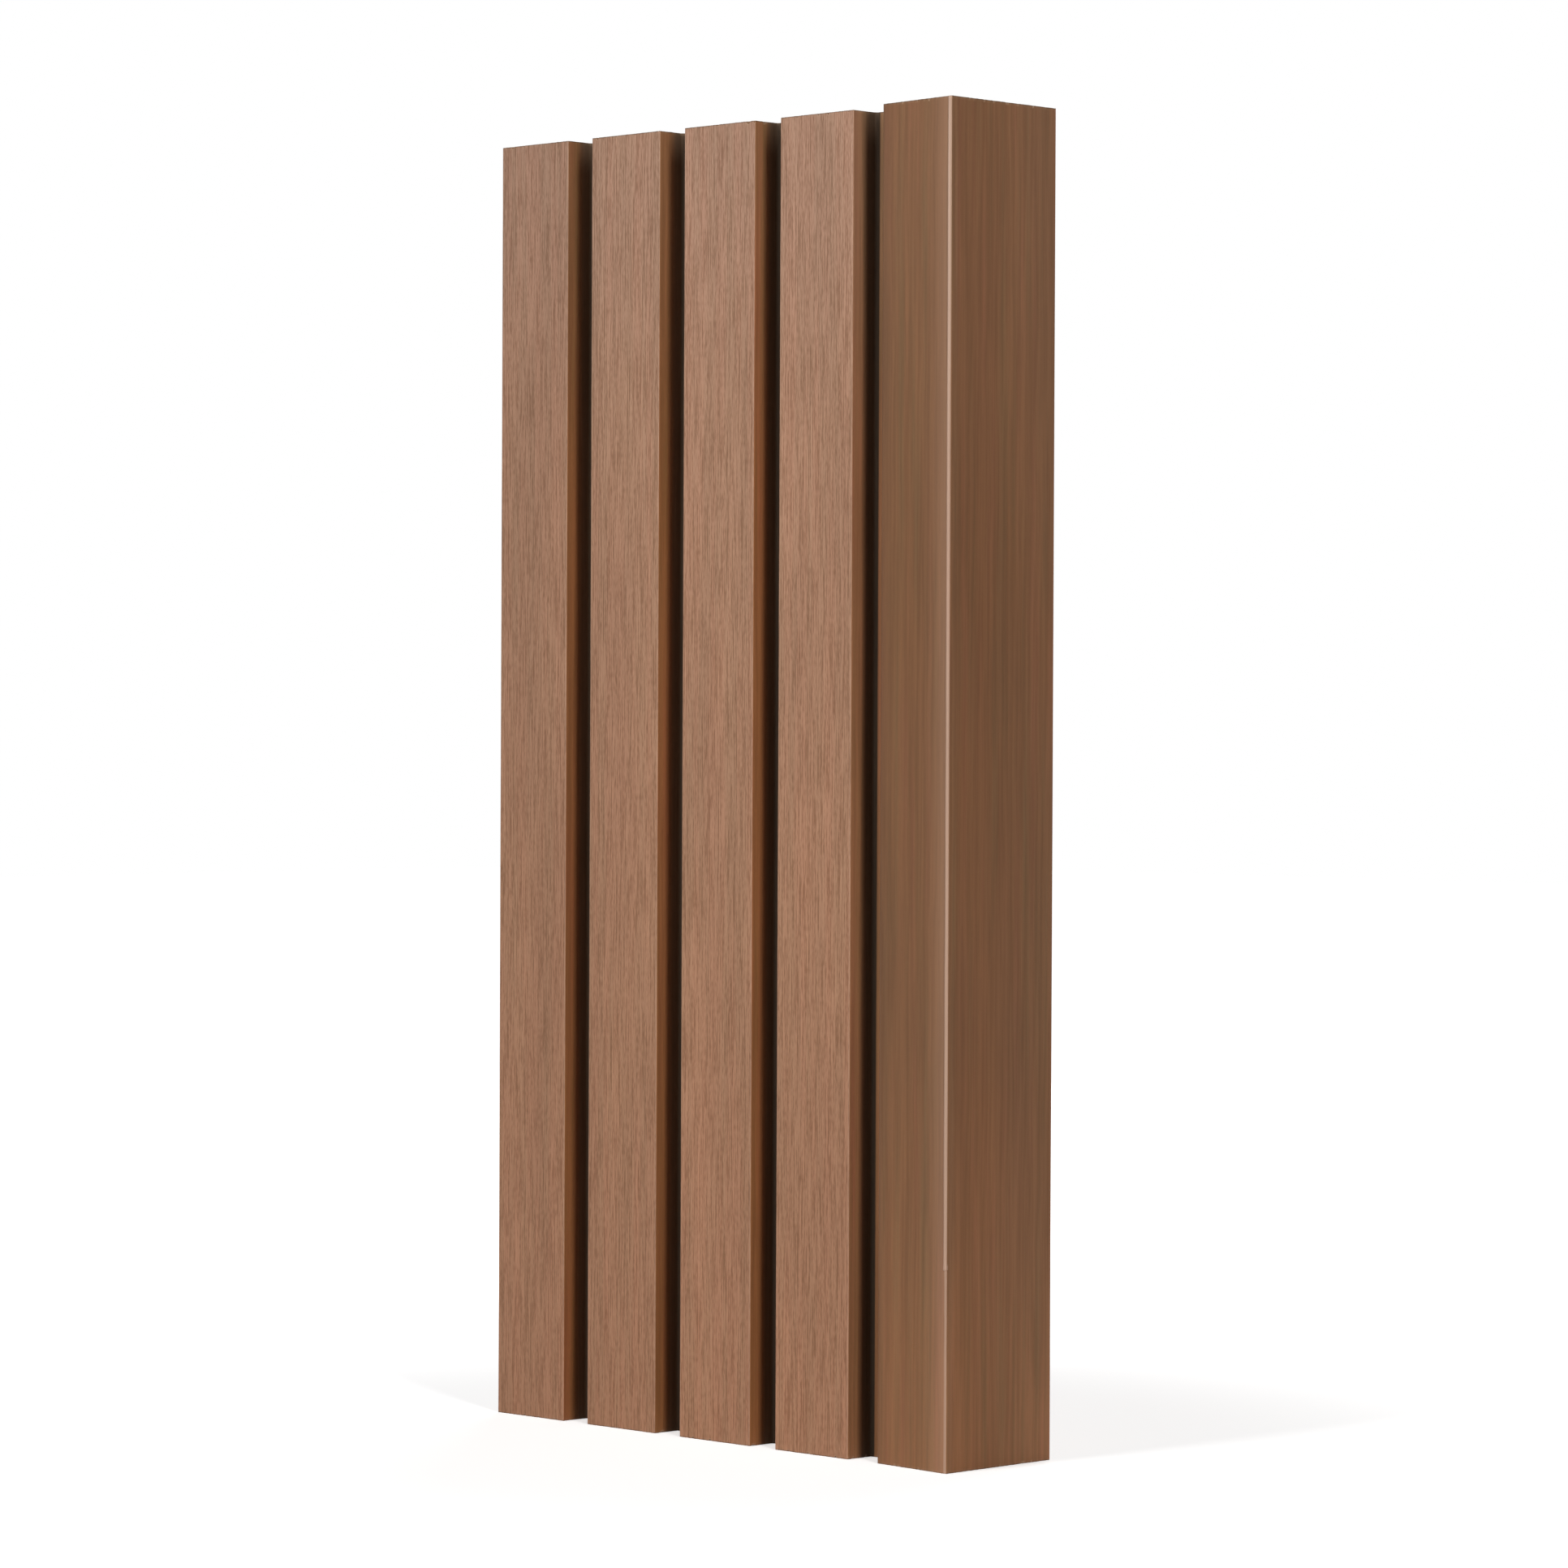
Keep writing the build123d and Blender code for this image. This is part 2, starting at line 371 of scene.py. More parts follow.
def cap_faces(loops, upwards):
    """Triangles between an outer loop and the holes in it, from a constrained Delaunay triangulation.

    A loop is (vertex numbers, points). The points go in as millimetres, so that none is taken for its
    neighbour.
    """
    numbers = np.concatenate([n for n, _ in loops])
    places = np.concatenate([p for _, p in loops])
    rings, first = [], 0
    for n, _ in loops:
        rings.append(list(range(first, first + len(n))))
        first += len(n)
    flat = [Vector(p) for p in (places * 1000).tolist()]
    _, _, triangles, sources, _, _ = delaunay_2d_cdt(flat, [], rings, 2, 1e-7)
    if len(sources) != len(places) or not all(sources):
        raise RuntimeError("the rim of a sawn end crosses itself")
    back = np.array([s[0] for s in sources])
    corner = numbers[back[np.array(triangles)]]
    spot = places[back[np.array(triangles)]]
    side_a, side_b = spot[:, 1] - spot[:, 0], spot[:, 2] - spot[:, 0]
    area = side_a[:, 0] * side_b[:, 1] - side_a[:, 1] * side_b[:, 0]
    wrong = (area < 0) == upwards
    corner[wrong] = corner[wrong][:, ::-1]
    return corner


def mesh_object(name, points, quads, quad_kinds, triangles, triangle_kind, sharp_pairs, masks, materials):
    """One closed mesh from whole arrays. The triangles are flat shaded, the quads smooth."""
    mesh = bpy.data.meshes.new(name)
    corners = np.concatenate([quads.ravel(), triangles.ravel()]).astype(np.int32)
    counts = np.concatenate([np.full(len(quads), 4), np.full(len(triangles), 3)])
    starts = np.concatenate([[0], np.cumsum(counts)[:-1]]).astype(np.int32)
    mesh.vertices.add(len(points))
    mesh.vertices.foreach_set("co", points.astype(np.float32).ravel())
    mesh.loops.add(len(corners))
    mesh.loops.foreach_set("vertex_index", corners)
    mesh.polygons.add(len(counts))
    mesh.polygons.foreach_set("loop_start", starts)
    kinds = np.concatenate([quad_kinds, np.full(len(triangles), triangle_kind)]).astype(np.int32)
    mesh.polygons.foreach_set("material_index", kinds)
    smooth = np.concatenate([np.ones(len(quads), bool), np.zeros(len(triangles), bool)])
    mesh.polygons.foreach_set("use_smooth", smooth)
    mesh.update(calc_edges=True)
    ends = np.empty(len(mesh.edges) * 2, np.int32)
    mesh.edges.foreach_get("vertices", ends)
    ends = np.sort(ends.reshape(-1, 2), axis=1)
    keys = ends[:, 0].astype(np.int64) * len(points) + ends[:, 1]
    wanted = np.sort(sharp_pairs, axis=1)
    wanted = wanted[:, 0].astype(np.int64) * len(points) + wanted[:, 1]
    mesh.edges.foreach_set("use_edge_sharp", np.isin(keys, wanted))
    for mask, values in masks.items():
        layer = mesh.attributes.new(mask, "FLOAT", "POINT")
        layer.data.foreach_set("value", values.astype(np.float32))
    for material in materials:
        mesh.materials.append(material)
    if mesh.validate(verbose=True):
        raise RuntimeError(name + " has faces that had to be repaired")
    piece = bpy.data.objects.new(name, mesh)
    bpy.context.scene.collection.objects.link(piece)
    return piece


def height_rows(low, high, ends, spacing, extra=()):
    """Heights of the rows: close together at both ends and at any extra places, even in between."""
    ends = np.array(ends)
    inner_low, inner_high = low + ends[-1], high - ends[-1]
    even = np.linspace(inner_low, inner_high, int(round((inner_high - inner_low) / spacing)) + 1)
    extra = np.array(extra)
    if len(extra):
        room = spacing * 0.3
        even = even[(even < extra.min() - room) | (even > extra.max() + room)]
    return np.unique(np.round(np.concatenate([low + ends, even, extra, high - ends]), 7))


class Extrusion:
    """A closed section carried from `low` to `high`, with sawn ends and any number of hollows."""

    # Heights above an end at which rows lie close together, and the least gap where a chip pushes them
    end_rows = (0, 0.0005, 0.0013, 0.0026)
    row_gap = 0.00012
    # From an end to the first row inside a hollow
    hollow_rows = 0.004
    # How far a chip moves the rim inward, as a share of its depth, and how near a rounded edge it stops
    chip_lean = 0.25
    edge_reach = 0.0011

    def __init__(self, corners, low, high, spacing, extra=()):
        self.outline, self.kinds, self.convex, self.sharp = rounded_outline(corners)
        self.normal, self.along = outward(self.outline), run_length(self.outline)
        self.low, self.high = low, high
        self.heights = height_rows(low, high, self.end_rows, spacing, extra)
        self.s, self.z = np.meshgrid(self.along, self.heights)
        self.rows, self.columns = len(self.heights), len(self.outline)

    def press(self, relief, chips_low, chips_high, ease):
        """Grid of points from the lower cap ring to the upper one.

        Each row is the outline less normal * relief. At an end the rim drops by its chip depth and moves in
        by a share of it, the rows next to it make way, and one more ring lies on the cap, a little further
        in, but never past the centre of a rounded edge.
        """
        rank = np.arange(self.rows)[:, None]
        floor_line = self.low + chips_low[None, :] + rank * self.row_gap
        roof_line = self.high - chips_high[None, :] - (self.rows - 1 - rank) * self.row_gap
        z = np.minimum(np.maximum(self.z, floor_line), roof_line)
        lean = self.chip_lean * (1 - edge_nearness(self.outline, self.outline[self.convex], self.edge_reach))
        inward = relief.copy()
        inward[0] += chips_low * lean
        inward[-1] += chips_high * lean
        flat = self.outline[None, :, :] - self.normal[None, :, :] * inward[:, :, None]
        grid = np.concatenate([flat, z[:, :, None]], axis=2)
        rings = []
        for row, chips, level in ((0, chips_low, self.low), (-1, chips_high, self.high)):
            shift = (inward[row] + ease + chips * lean)[:, None]
            height = np.full((self.columns, 1), level)
            rings.append(np.concatenate([self.outline - self.normal * shift, height], axis=1))
        return np.concatenate([rings[0][None], grid, rings[1][None]])

    def on_all_rows(self, values):
        """Values along the outline, the same on every row of the grid."""
        return np.tile(values, (self.rows + 2, 1))

    def end_masks(self, chips_low, chips_high):
        """Nearness to a sawn end, and how fresh the chips in its rim are, for each point of the grid."""
        rim, fresh = np.zeros((self.rows + 2, self.columns)), np.zeros((self.rows + 2, self.columns))
        rim[[0, 1, -2, -1]], rim[[2, -3]] = 1.0, 0.45
        largest = max(chips_low.max(), chips_high.max())
        fresh[:3], fresh[-3:] = 0.8 * chips_low / largest, 0.8 * chips_high / largest
        return {"rim": rim, "fresh": fresh}

    def edges_kept_sharp(self):
        """Pairs of vertices: up the sharp corners of the outline, and round both rims."""
        column, row = np.nonzero(self.sharp)[0], np.arange(1, self.rows)[:, None]
        foot = (row * self.columns + column).ravel()
        pairs = [np.stack([foot, foot + self.columns], axis=1)]
        ring = np.arange(self.columns)
        for level in (1, self.rows):
            pairs.append(level * self.columns + np.stack([ring, (ring + 1) % self.columns], axis=1))
        return np.concatenate(pairs)

    def build(self, name, grid, holes, masks, materials):
        """The mesh object: side faces, hollows and both caps.

        A mask has a value for each point of the grid.
        """
        points = [grid.reshape(-1, 3)]
        quads = [strip_faces(self.rows + 2, self.columns, 0)]
        quad_kinds = np.tile(self.kinds, (self.rows + 1, 1))
        quad_kinds[[0, -1]] = SAWN
        quad_kinds = [quad_kinds.ravel()]
        ring, top = np.arange(self.columns), (self.rows + 1) * self.columns
        low_loops, high_loops = [(ring, grid[0, :, :2])], [(top + ring, grid[-1, :, :2])]
        levels = np.array([self.low, self.low + self.hollow_rows, (self.low + self.high) / 2,
                           self.high - self.hollow_rows, self.high])
        first = top + self.columns
        for hole in holes:
            count = len(hole)
            heights = np.repeat(levels, count)[:, None]
            points.append(np.concatenate([np.tile(hole, (len(levels), 1)), heights], axis=1))
            quads.append(strip_faces(len(levels), count, first))
            quad_kinds.append(np.full(len(quads[-1]), HOLLOW))
            low_loops.append((first + np.arange(count), hole))
            first += len(points[-1])
            high_loops.append((first - count + np.arange(count), hole))
        triangles = np.concatenate([cap_faces(low_loops, False), cap_faces(high_loops, True)])
        extra = first - grid.shape[0] * grid.shape[1]
        masks = {key: np.concatenate([value.ravel(), np.zeros(extra)]) for key, value in masks.items()}
        materials = [bpy.data.materials[finish] for finish in materials]
        return mesh_object(name, np.concatenate(points), np.concatenate(quads), np.concatenate(quad_kinds),
                           triangles, SAWN, self.edges_kept_sharp(), masks, materials)


def with_caps(rows):
    """The same values with the first and last row repeated, for the cap rings."""
    return np.concatenate([rows[:1], rows, rows[-1:]])


# Nodes

class Wiring:
    """Places nodes in one node tree and joins them up."""

    def __init__(self, tree):
        self.tree = tree

    def node(self, kind, inputs=None, **settings):
        made = self.tree.nodes.new(kind)
        for key, value in settings.items():
            setattr(made, key, value)
        for key, value in (inputs or {}).items():
            if isinstance(value, bpy.types.NodeSocket):
                self.tree.links.new(value, made.inputs[key])
            else:
                made.inputs[key].default_value = value
        return made

    def math(self, operation, a, b=0.0, c=0.0):
        return self.node("ShaderNodeMath", {0: a, 1: b, 2: c}, operation=operation).outputs[0]

    def product(self, first, *others):
        for other in others:
            first = self.math("MULTIPLY", first, other)
        return first

    def vector_math(self, operation, a, b):
        return self.node("ShaderNodeVectorMath", {0: a, 1: b}, operation=operation).outputs[0]

    def distance(self, vector):
        """Distance from the origin."""
        return self.node("ShaderNodeVectorMath", {0: vector}, operation="LENGTH").outputs["Value"]

    def remap(self, value, low, high, new_low=0.0, new_high=1.0):
        made = self.node("ShaderNodeMapRange", {"Value": value, "From Min": low, "From Max": high,
                                                "To Min": new_low, "To Max": new_high},
                         interpolation_type="SMOOTHSTEP")
        return made.outputs[0]

    def mix(self, amount, a, b):
        made = self.node("ShaderNodeMix", data_type="RGBA")
        for key, value in ((0, amount), (6, a), (7, b)):
            if isinstance(value, bpy.types.NodeSocket):
                self.tree.links.new(value, made.inputs[key])
            else:
                made.inputs[key].default_value = value if key == 0 else (*value, 1.0)
        return made.outputs[2]

    def brighten(self, tone, amount):
        """The tone times the amount."""
        grey = self.node("ShaderNodeCombineXYZ", {0: amount, 1: amount, 2: amount}).outputs[0]
        return self.vector_math("MULTIPLY", tone, grey)

    def tinted(self, tone, value, low, high, low_tint, high_tint):
        """The tone times a tint, which goes from one to the other as the value rises from low to high."""
        tint = self.mix(self.remap(value, low, high), low_tint, high_tint)
        return self.vector_math("MULTIPLY", tone, tint)

    def fade(self, tone, place, fades):
        """The tone times tints that change slowly over the object, most of them painted light and shade, as
        the tables at the top have them.
        """
        for axis, *steps in fades:
            tone = self.tinted(tone, self.parts(place)[axis], *steps)
        return tone

    def noise(self, vector, scale, detail=2.0, roughness=0.5):
        return self.node("ShaderNodeTexNoise", {"Vector": vector, "Scale": scale, "Detail": detail,
                                                "Roughness": roughness}).outputs["Fac"]

    def stretch(self, vector, scale, place=(0.0, 0.0, 0.0)):
        inputs = {"Vector": vector, "Scale": scale, "Location": place}
        return self.node("ShaderNodeMapping", inputs).outputs[0]

    def place(self):
        return self.node("ShaderNodeTexCoord").outputs["Object"]

    def parts(self, vector):
        return self.node("ShaderNodeSeparateXYZ", {0: vector}).outputs

    def mask(self, name):
        return self.node("ShaderNodeAttribute", attribute_name=name).outputs["Fac"]


def cleared(owner):
    """Wiring in the emptied node tree of a material or a world."""
    owner.use_nodes = True
    owner.node_tree.nodes.clear()
    return Wiring(owner.node_tree)


def scaled(tone, *factors):
    return tuple(np.array(tone) * (factors if len(factors) > 1 else factors[0]))


def shader_group(name, inputs, outputs, fill):
    """A shader node group with the given sockets, whose inside is laid by fill(wiring, inputs) -> outputs."""
    tree = bpy.data.node_groups.new(name, "ShaderNodeTree")
    for label, kind, default in inputs:
        socket = tree.interface.new_socket(label, in_out="INPUT", socket_type=kind)
        if default is not None:
            socket.default_value = default
    for label, kind in outputs:
        tree.interface.new_socket(label, in_out="OUTPUT", socket_type=kind)
    wiring = Wiring(tree)
    source = wiring.node("NodeGroupInput")
    target = wiring.node("NodeGroupOutput")
    for label, socket in fill(wiring, source.outputs).items():
        tree.links.new(socket, target.inputs[label])
    return tree


def lay_drawn_grain(w, given):
    """Streaks along Z: noise squeezed across and drawn out along, on places that wander slowly sideways.

    Hair is the sum of hairlines of three lengths, all under a millimetre wide. Line, Band and Cloud are
    wider and longer in turn.
    """
    wander = w.node("ShaderNodeTexNoise", {"Vector": w.stretch(given["Place"], (60, 60, 22)), "Scale": 1.0,
                                           "Detail": 1.0}).outputs["Color"]
    centred = w.vector_math("SUBTRACT", wander, (0.5, 0.5, 0.5))
    drift = w.node("ShaderNodeVectorMath", {0: centred, "Scale": given["Wander"]}, operation="SCALE")
    moved = w.vector_math("ADD", given["Place"], drift.outputs[0])
    short = w.noise(w.stretch(moved, (2400, 2400, 420)), 1.0, 0.0)
    medium = w.noise(w.stretch(moved, (2300, 2300, 90), (3.3, 8.1, 0)), 1.0, 0.0)
    long = w.noise(w.stretch(moved, (2200, 2200, 34), (6.7, 4.9, 0)), 1.0, 0.0)
    hair = w.math("MULTIPLY_ADD", medium, 0.31, w.math("MULTIPLY", long, 0.41))
    hair = w.math("MULTIPLY_ADD", short, 0.28, hair)
    line = w.noise(w.stretch(moved, (620, 620, 13), (3.1, 1.7, 0)), 1.0, 2.0)
    band = w.noise(w.stretch(moved, (210, 210, 6), (7.3, 2.9, 0)), 1.0, 2.0, 0.55)
    cloud = w.noise(w.stretch(given["Place"], (42, 42, 7), (1.9, 5.3, 0)), 1.0, 2.0)
    return {"Hair": hair, "Line": line, "Band": band, "Cloud": cloud}


def lay_worn_edge(w, given):
    """Mask of a rubbed edge: nearness to the edge, broken up by noise drawn along Z."""
    broken = w.noise(w.stretch(given["Place"], (900, 900, 60)), 1.0, 3.0, 0.6)
    reach = w.math("MULTIPLY_ADD", w.math("SUBTRACT", broken, 0.5), given["Breakup"], given["Nearness"])
    return {"Mask": w.math("MULTIPLY", w.remap(reach, 0.35, 1.0), given["Amount"])}


def lay_saw_marks(w, given):
    """Cut end: arcs of a large blade as rings about a far centre, with flecks of fibre in between."""
    blade_centre, radians_per_metre = (-0.05, -0.34, 0), 4200.0
    from_blade = w.vector_math("SUBTRACT", given["Place"], blade_centre)
    away = w.distance(w.vector_math("MULTIPLY", from_blade, (1, 1, 0)))
    shaken = w.math("MULTIPLY_ADD", w.noise(given["Place"], 90.0), 0.0012, away)
    wave = w.math("SINE", w.math("MULTIPLY", shaken, radians_per_metre))
    arcs = w.math("MULTIPLY_ADD", wave, 0.5, 0.5)
    uneven = w.noise(given["Place"], 260.0, 3.0, 0.6)
    fleck = w.remap(w.noise(w.stretch(given["Place"], (1500, 3600, 900)), 1.0, 2.0, 0.6), 0.60, 0.74)
    return {"Arcs": w.math("MULTIPLY", arcs, uneven), "Fleck": fleck, "Uneven": uneven}


class Finishes:
    """The composite's materials, and the groups that they share."""

    def __init__(self, colours):
        self.colours = colours
        vector, number = "NodeSocketVector", "NodeSocketFloat"
        self.grain = shader_group("Drawn grain", [("Place", vector, None), ("Wander", number, 0.002)],
                                  [("Hair", number), ("Line", number), ("Band", number), ("Cloud", number)],
                                  lay_drawn_grain)
        self.edge = shader_group("Worn edge", [("Place", vector, None), ("Nearness", number, 0.0),
                                               ("Breakup", number, 0.5), ("Amount", number, 1.0)],
                                 [("Mask", number)], lay_worn_edge)
        self.saw = shader_group("Saw marks", [("Place", vector, None)],
                                [("Arcs", number), ("Fleck", number), ("Uneven", number)], lay_saw_marks)

    def close(self, wiring, base, roughness, height, bump_distance, specular):
        """Bump, Principled BSDF and output."""
        bump = wiring.node("ShaderNodeBump", {"Height": height, "Distance": bump_distance, "Strength": 1.0})
        shader = wiring.node("ShaderNodeBsdfPrincipled", {"Base Color": base, "Roughness": roughness,
                                                          "Normal": bump.outputs[0]})
        shader.inputs["Specular IOR Level"].default_value = specular
        wiring.node("ShaderNodeOutputMaterial", {"Surface": shader.outputs[0]})

    def group(self, wiring, tree, **inputs):
        return wiring.node("ShaderNodeGroup", inputs, node_tree=tree).outputs

    def broken(self, w, place, mask, breakup, amount):
        """A mask of the mesh, broken up as wear is."""
        inputs = {"Place": place, "Nearness": w.mask(mask), "Breakup": breakup, "Amount": amount}
        return self.group(w, self.edge, **inputs)["Mask"]

    def ends(self, w, place, tone):
        """The tone with a broken dark line along the sawn ends, and pale where a chip is fresh."""
        tone = w.mix(self.broken(w, place, "rim", 1.1, 0.75), tone, scaled(self.colours.core, 0.38))
        return w.mix(w.mask("fresh"), tone, scaled(self.colours.core_fleck, 1.25))

    def brushed(self):
        """Slat faces: tan, with fine brushed hairlines, pinkish and olive streaks and rubbed arrises.

        They turn a little greyer towards the top, which is painted sheen, and the pale on their arrises is
        partly wear and partly a painted highlight.
        """
        c = self.colours
        w = cleared(bpy.data.materials.new(FACE_FINISH))
        place = w.place()
        grain = self.group(w, self.grain, Place=place, Wander=0.0006)
        tone = w.mix(w.remap(grain["Band"], 0.32, 0.70), scaled(c.brushed, 0.965, 0.975, 0.965),
                     scaled(c.brushed, 1.05, 1.00, 1.00))
        # Painted sheen: grey mixed in towards the top
        tone = w.mix(w.remap(w.parts(place)[Z], 0.16, 0.62, 0.0, 0.05), tone, PAINTED_SHEEN_GREY)
        tone = w.tinted(tone, grain["Hair"], 0.33, 0.62, (0.71, 0.65, 0.59), (1.18, 1.20, 1.23))
        light = w.product(w.remap(grain["Line"], 0.25, 0.75, 0.97, 1.03),
                          w.remap(grain["Cloud"], 0.30, 0.70, 0.95, 1.06))
        tone = w.fade(w.brighten(tone, light), place, FACE_PAINTED_LIGHT)
        tone = w.mix(w.math("MULTIPLY", w.mask("relief"), 0.15), tone, tuple(c.brushed_dark))
        # Pale arrises: partly wear, partly a painted highlight
        worn = self.broken(w, place, "edge", 0.7, 0.14)
        tone = self.ends(w, place, w.mix(worn, tone, tuple(c.brushed_pale)))
        rough = w.remap(grain["Line"], 0.2, 0.8, 0.70, 0.60)
        self.close(w, tone, rough, grain["Hair"], bump_distance=0.00005, specular=0.25)

    def skin(self, name, middle, warm, green, bump_distance, fades, specular):
        """Extruded skin: brown with soft reddish and olive streaks and faint die lines.

        Painted shade makes it duller deep in the grooves, and darkest on their rounded roots. The trim's
        front is paler near its corner, a painted highlight, where masks also lay the rubbed arris, partly a
        painted highlight, and the bead, partly its own paler colour and partly a painted highlight that grows
        towards the top.
        """
        c = self.colours
        w = cleared(bpy.data.materials.new(name))
        place = w.place()
        grain = self.group(w, self.grain, Place=place, Wander=0.0016)
        tone = w.mix(w.remap(grain["Band"], 0.50, 0.75), tuple(middle), tuple(warm))
        tone = w.mix(w.remap(grain["Band"], 0.50, 0.25), tone, tuple(green))
        light = w.product(w.remap(grain["Line"], 0.28, 0.72, 0.89, 1.11),
                          w.remap(grain["Cloud"], 0.30, 0.70, 0.94, 1.07),
                          w.remap(grain["Hair"], 0.35, 0.65, 0.96, 1.04))
        # Painted shade deep in the grooves: darker towards the last groove, darkest on the roots
        deep = w.brighten(tuple(c.skin_groove_shade), w.remap(w.parts(place)[X], -0.10, 0.09, 1.0, 0.65))
        deep = w.brighten(deep, w.remap(w.mask("deep"), 1.0, 2.0, 1.0, 0.7))
        tone = w.mix(w.mask("deep"), w.fade(tone, place, fades), deep)
        tone = self.ends(w, place, w.brighten(tone, light))
        # Painted highlight on the trim's front near its corner
        painted_highlight_tone = scaled(c.trim_pale, 1.15, 1.03, 0.90)
        tone = w.mix(w.math("MULTIPLY", w.mask("corner"), 0.20), tone, painted_highlight_tone)
        # Pale arris: partly wear, partly a painted highlight
        tone = w.mix(self.broken(w, place, "edge", 0.6, 0.42), tone, tuple(c.trim_pale))
        # The bead is paler, partly its own colour and partly a painted highlight that grows towards the top
        bead = w.math("MULTIPLY", w.mask("bead"), w.remap(w.parts(place)[Z], 0.30, 0.53, 0.30, 0.66))
        tone = w.mix(bead, tone, tuple(c.trim_pale))
        rough = w.remap(grain["Line"], 0.25, 0.75, 0.60, 0.50)
        self.close(w, tone, rough, grain["Line"], bump_distance, specular)

    def sawn(self):
        """Cut ends: matt core with blade arcs and pale flecks of fibre."""
        c = self.colours
        w = cleared(bpy.data.materials.new(END_FINISH))
        saw = self.group(w, self.saw, Place=w.place())
        tone = w.mix(w.math("MULTIPLY", saw["Arcs"], 0.7), tuple(c.core), scaled(c.core, 0.55))
        tone = w.mix(w.remap(saw["Uneven"], 0.35, 0.7, 0.0, 0.5), tone, scaled(c.core, 1.35))
        tone = w.mix(w.math("MULTIPLY", saw["Fleck"], 0.6), tone, tuple(c.core_fleck))
        height = w.math("MULTIPLY_ADD", saw["Fleck"], 0.6, saw["Arcs"])
        self.close(w, tone, 0.8, height, bump_distance=0.0001, specular=0.2)


# Operators

class SLATS_OT_finishes(bpy.types.Operator):
    """Make the composite's materials"""
    bl_idname = "slats.finishes"
    bl_label = "Finishes"

    def execute(self, context):
        c = context.scene.slat_colours
        finishes = Finishes(c)
        finishes.brushed()
        finishes.skin(SKIN_FINISH, c.skin, c.skin_warm, c.skin_green,
                      bump_distance=0.00005, fades=SKIN_TINTS_AND_PAINTED_LIGHT, specular=0.12)
        finishes.skin(TRIM_FINISH, c.trim, c.trim_warm, c.trim_green,
                      bump_distance=0.00003, fades=TRIM_TINTS_AND_PAINTED_LIGHT, specular=0.25)
        finishes.sawn()
        return {"FINISHED"}


